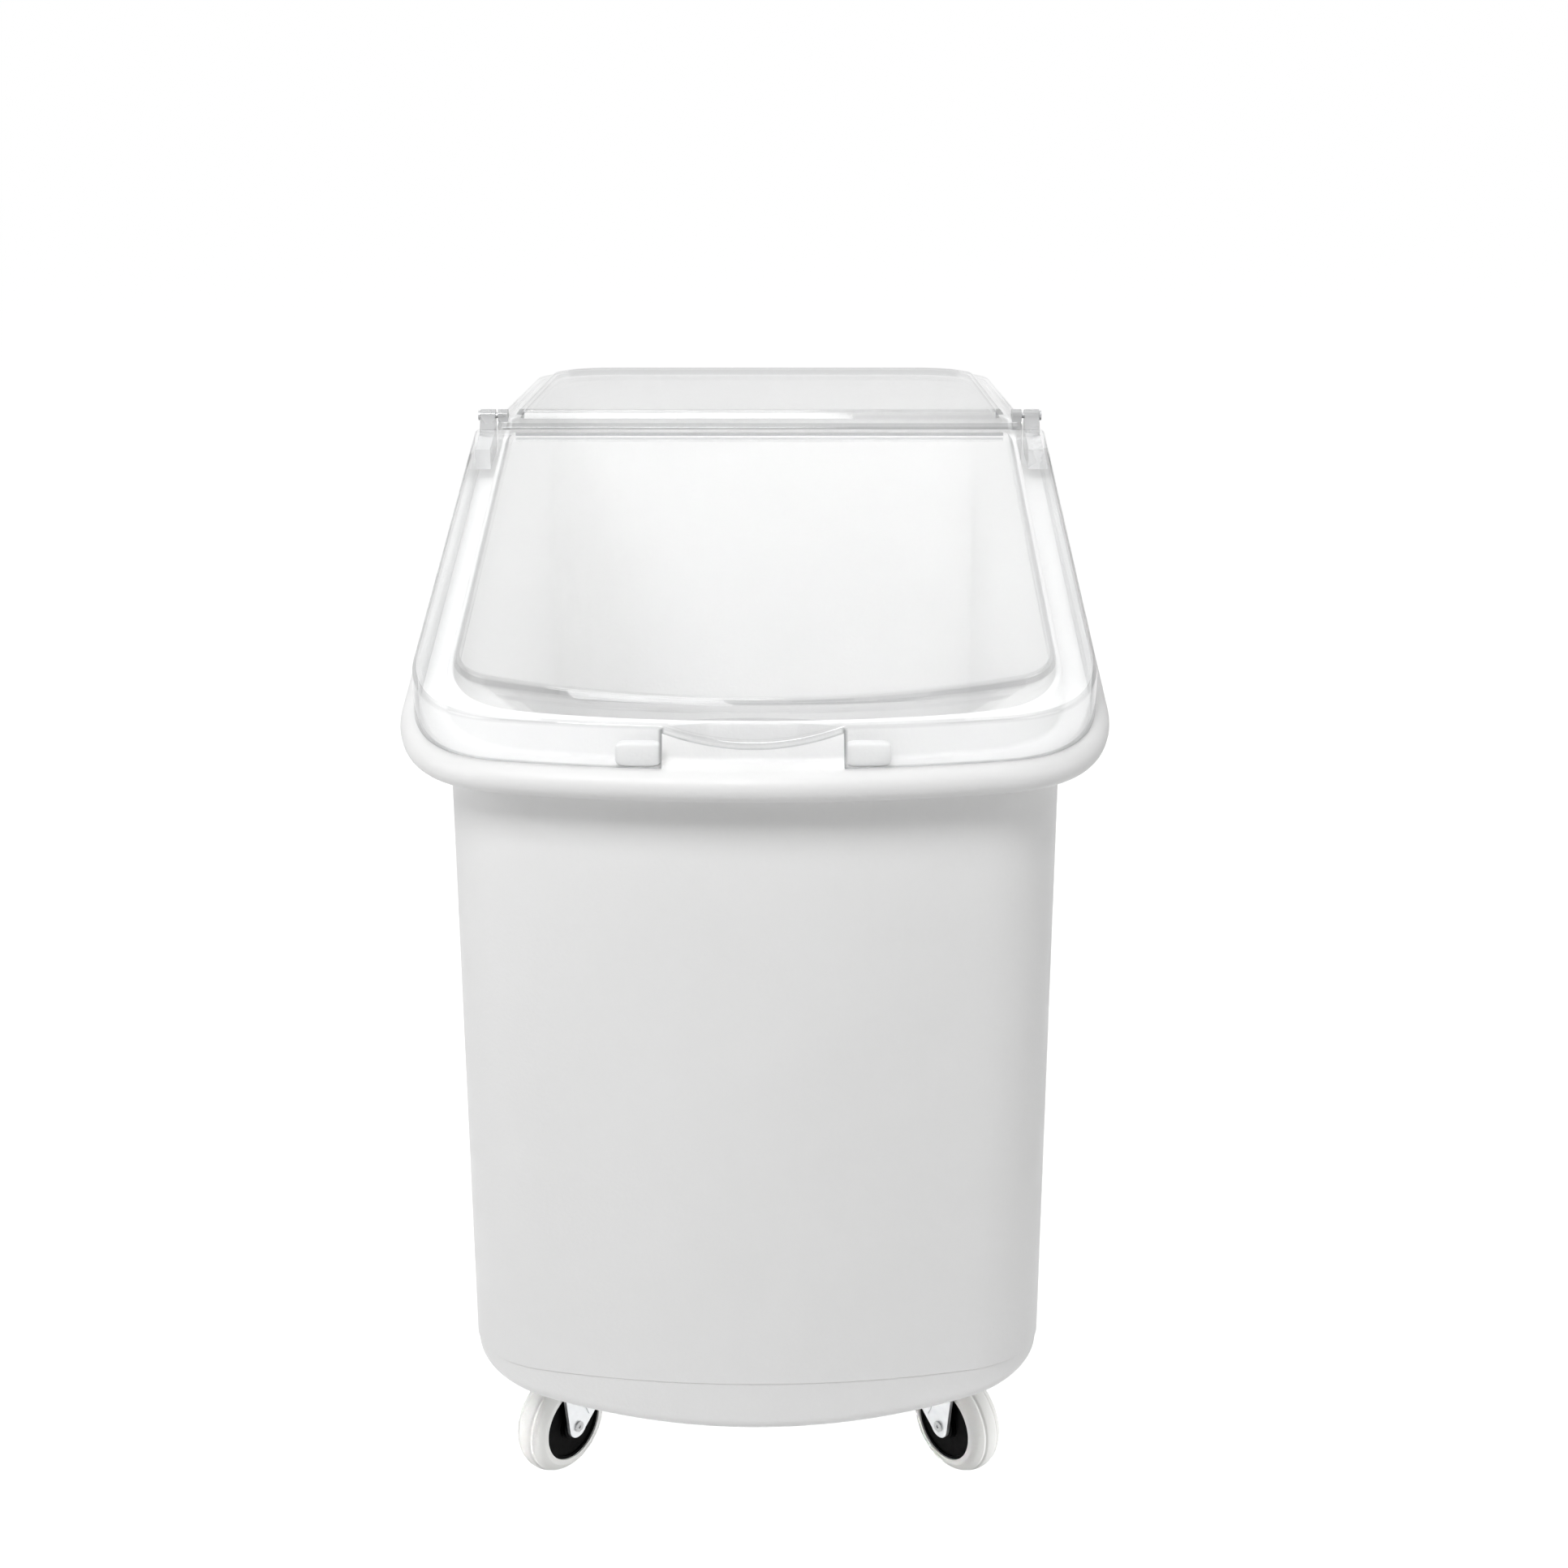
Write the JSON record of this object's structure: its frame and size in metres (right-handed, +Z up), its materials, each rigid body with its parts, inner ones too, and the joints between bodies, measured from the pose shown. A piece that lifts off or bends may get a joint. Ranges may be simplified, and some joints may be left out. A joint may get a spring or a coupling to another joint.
{
  "type": "rolling flour bin",
  "caption": "White slant-top ingredient bin on swivel casters, with a fixed clear rear lid and a clear sloping front lid that lifts on a hinge to reach the flour.",
  "frame": {"origin": "on the floor, under the middle of the rim's outline", "axes": "+X to the right seen from the front, +Y to the rear, +Z up"},
  "size_m": [0.425, 0.76, 0.6948],
  "materials": {
    "white_plastic": "satin moulded polyethylene",
    "clear_plastic": "clear moulded polycarbonate",
    "zinc_steel": "bright zinc plate",
    "black_plastic": "black moulded plastic",
    "white_rubber": "white non-marking rubber"
  },
  "bodies": {
    "bin": {"bin_tub": "white_plastic", "rear_lid": "clear_plastic", "hinge_lugs": "clear_plastic", "hinge_pins": "zinc_steel", "lid_stops": "white_plastic", "caster_pads": "white_plastic", "caster_bolts": "zinc_steel", "front_left_plate": "zinc_steel", "front_left_kingpin": "zinc_steel", "front_right_plate": "zinc_steel", "front_right_kingpin": "zinc_steel", "rear_left_plate": "zinc_steel", "rear_left_kingpin": "zinc_steel", "rear_right_plate": "zinc_steel", "rear_right_kingpin": "zinc_steel"},
    "lid": {"front_lid": "clear_plastic", "hinge_ear_left": "clear_plastic", "hinge_ear_right": "clear_plastic"},
    "front_left_swivel": {"front_left_balls": "zinc_steel", "front_left_fork": "zinc_steel", "front_left_axle": "zinc_steel", "front_left_axle_nut": "zinc_steel", "front_left_bush": "zinc_steel"},
    "front_left_wheel": {"front_left_hub": "black_plastic", "front_left_tyre": "white_rubber"},
    "front_right_swivel": {"front_right_balls": "zinc_steel", "front_right_fork": "zinc_steel", "front_right_axle": "zinc_steel", "front_right_axle_nut": "zinc_steel", "front_right_bush": "zinc_steel"},
    "front_right_wheel": {"front_right_hub": "black_plastic", "front_right_tyre": "white_rubber"},
    "rear_left_swivel": {"rear_left_balls": "zinc_steel", "rear_left_fork": "zinc_steel", "rear_left_axle": "zinc_steel", "rear_left_axle_nut": "zinc_steel", "rear_left_bush": "zinc_steel"},
    "rear_left_wheel": {"rear_left_hub": "black_plastic", "rear_left_tyre": "white_rubber"},
    "rear_right_swivel": {"rear_right_balls": "zinc_steel", "rear_right_fork": "zinc_steel", "rear_right_axle": "zinc_steel", "rear_right_axle_nut": "zinc_steel", "rear_right_bush": "zinc_steel"},
    "rear_right_wheel": {"rear_right_hub": "black_plastic", "rear_right_tyre": "white_rubber"}
  },
  "joints": [
    {"name": "lid_hinge", "type": "hinge", "parent": "bin", "child": "lid", "pos_m": [0, 0.04, 0.6903], "axis": [-1, 0, 0], "range_deg": [0, 186]},
    {"name": "front_left_swivel_turn", "type": "hinge", "parent": "bin", "child": "front_left_swivel", "pos_m": [-0.123, -0.209, 0.09], "axis": [0, 0, 1], "continuous": true},
    {"name": "front_left_wheel_spin", "type": "hinge", "parent": "front_left_swivel", "child": "front_left_wheel", "pos_m": [-0.13654, -0.22634, 0.036], "axis": [0.788, -0.6157, 0], "continuous": true},
    {"name": "front_right_swivel_turn", "type": "hinge", "parent": "bin", "child": "front_right_swivel", "pos_m": [0.123, -0.209, 0.09], "axis": [0, 0, 1], "continuous": true},
    {"name": "front_right_wheel_spin", "type": "hinge", "parent": "front_right_swivel", "child": "front_right_wheel", "pos_m": [0.13654, -0.22634, 0.036], "axis": [0.788, 0.6157, 0], "continuous": true},
    {"name": "rear_left_swivel_turn", "type": "hinge", "parent": "bin", "child": "rear_left_swivel", "pos_m": [-0.123, 0.245, 0.09], "axis": [0, 0, 1], "continuous": true},
    {"name": "rear_left_wheel_spin", "type": "hinge", "parent": "rear_left_swivel", "child": "rear_left_wheel", "pos_m": [-0.13052, 0.22433, 0.036], "axis": [0.9397, -0.342, 0], "continuous": true},
    {"name": "rear_right_swivel_turn", "type": "hinge", "parent": "bin", "child": "rear_right_swivel", "pos_m": [0.123, 0.245, 0.09], "axis": [0, 0, 1], "continuous": true},
    {"name": "rear_right_wheel_spin", "type": "hinge", "parent": "rear_right_swivel", "child": "rear_right_wheel", "pos_m": [0.13052, 0.22433, 0.036], "axis": [0.9397, 0.342, 0], "continuous": true}
  ]
}
